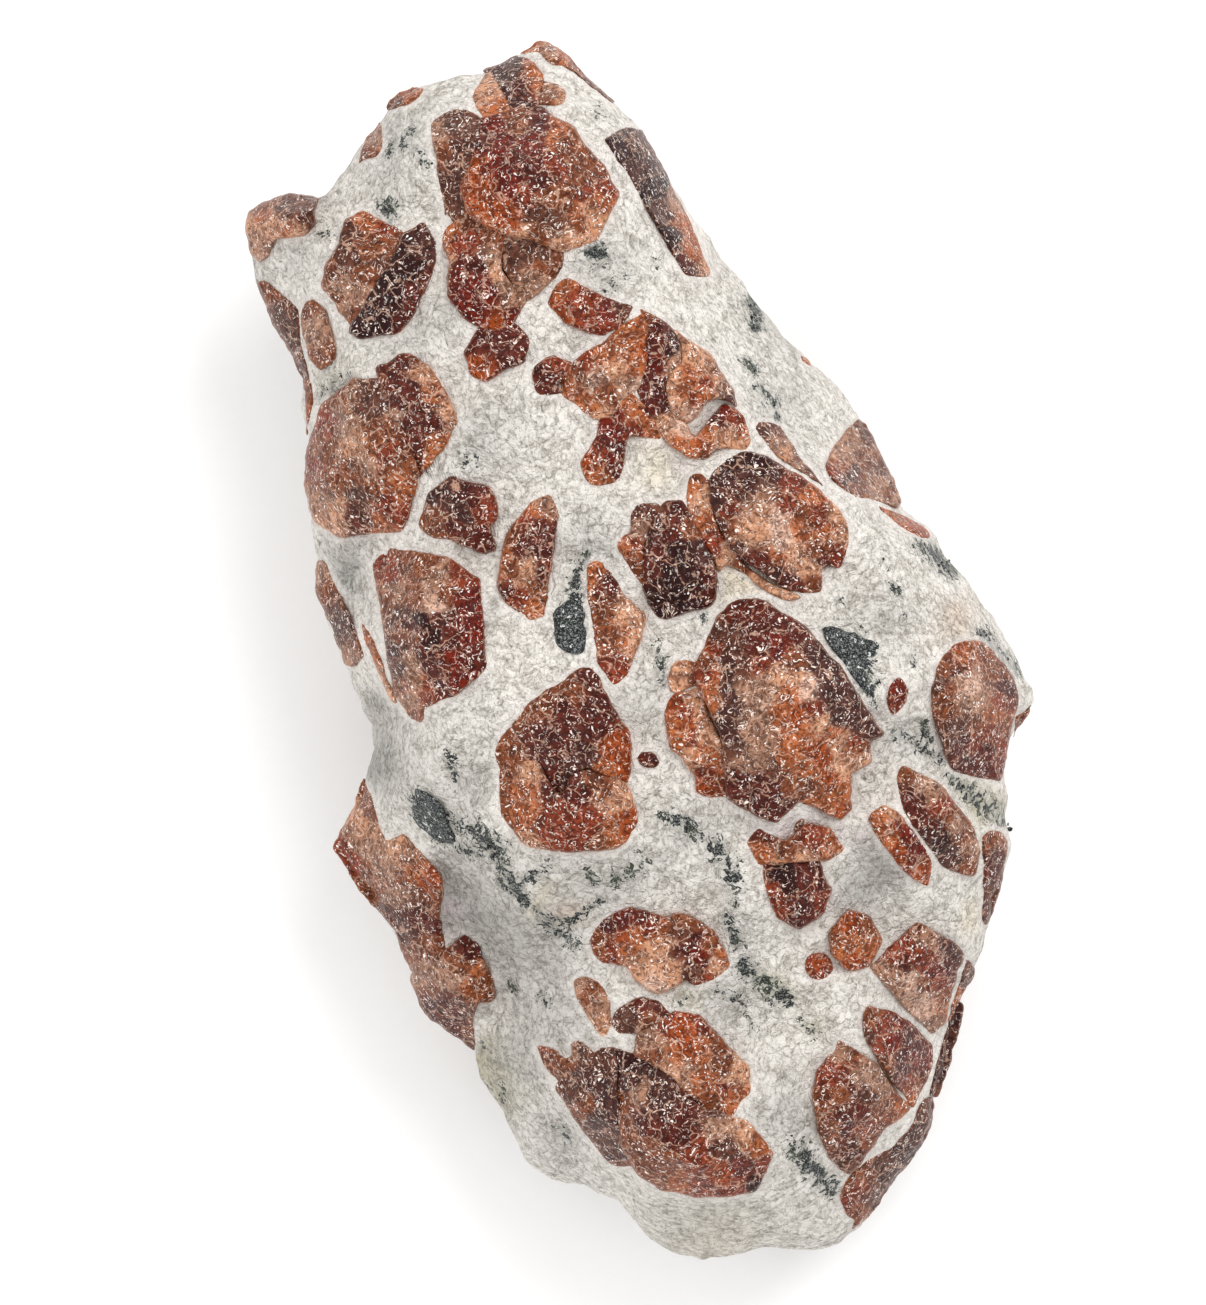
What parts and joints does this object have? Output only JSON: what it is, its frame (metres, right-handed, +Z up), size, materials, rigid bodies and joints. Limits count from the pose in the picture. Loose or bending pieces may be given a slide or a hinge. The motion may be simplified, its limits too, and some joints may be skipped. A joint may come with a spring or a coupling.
{
  "type": "garnet wollastonite rock",
  "caption": "Elongated hand specimen of pale wollastonite rock studded with brown, red and orange garnets and dark diopside grains, resting on a small flat spot",
  "frame": {"origin": "on the surface that the rock rests on, under the middle of its outline seen from above", "axes": "+Z up out of the pictured face, +Y along the rock towards its narrower garnet-crowned end, +X to the right as pictured"},
  "size_m": [0.0704, 0.109, 0.0429],
  "materials": {
    "wollastonite": "matte",
    "garnet": "satin",
    "diopside": "satin"
  },
  "bodies": {
    "root": {"wollastonite_matrix": "wollastonite", "diopside_centre_right": "diopside", "diopside_middle": "diopside", "diopside_west": "diopside", "garnet_big_dark": "garnet", "garnet_big_orange": "garnet", "garnet_brown_north": "garnet", "garnet_brown_west": "garnet", "garnet_centre": "garnet", "garnet_centre_strip": "garnet", "garnet_crown": "garnet", "garnet_crown_flank": "garnet", "garnet_curved_sliver": "garnet", "garnet_dark_middle": "garnet", "garnet_dark_oval": "garnet", "garnet_dark_west": "garnet", "garnet_east_brown": "garnet", "garnet_east_edge": "garnet", "garnet_east_egg": "garnet", "garnet_east_long": "garnet", "garnet_east_orange": "garnet", "garnet_east_red": "garnet", "garnet_fan_dark": "garnet", "garnet_fan_lower": "garnet", "garnet_fan_orange": "garnet", "garnet_fan_right": "garnet", "garnet_flank_brown": "garnet", "garnet_left_horn": "garnet", "garnet_long_orange": "garnet", "garnet_lower_dark": "garnet", "garnet_lower_orange": "garnet", "garnet_middle_maroon": "garnet", "garnet_red_north": "garnet", "garnet_red_triangle": "garnet", "garnet_right_oval": "garnet", "garnet_round": "garnet", "garnet_shoulder_side": "garnet", "garnet_side_east": "garnet", "garnet_side_north": "garnet", "garnet_side_northwest": "garnet", "garnet_side_south": "garnet", "garnet_side_southwest": "garnet", "garnet_side_west": "garnet", "garnet_small_maroon": "garnet", "garnet_south_large": "garnet", "garnet_south_orange": "garnet", "garnet_south_oval": "garnet", "garnet_south_side": "garnet", "garnet_southeast": "garnet", "garnet_southeast_edge": "garnet", "garnet_southwest_flank": "garnet", "garnet_top_maroon": "garnet", "garnet_upper_flank": "garnet", "garnet_upper_orange": "garnet", "garnet_west_block": "garnet", "garnet_west_edge": "garnet", "garnet_west_flank": "garnet", "garnet_west_large": "garnet", "garnet_west_middle": "garnet", "garnet_west_small": "garnet"}
  },
  "joints": []
}
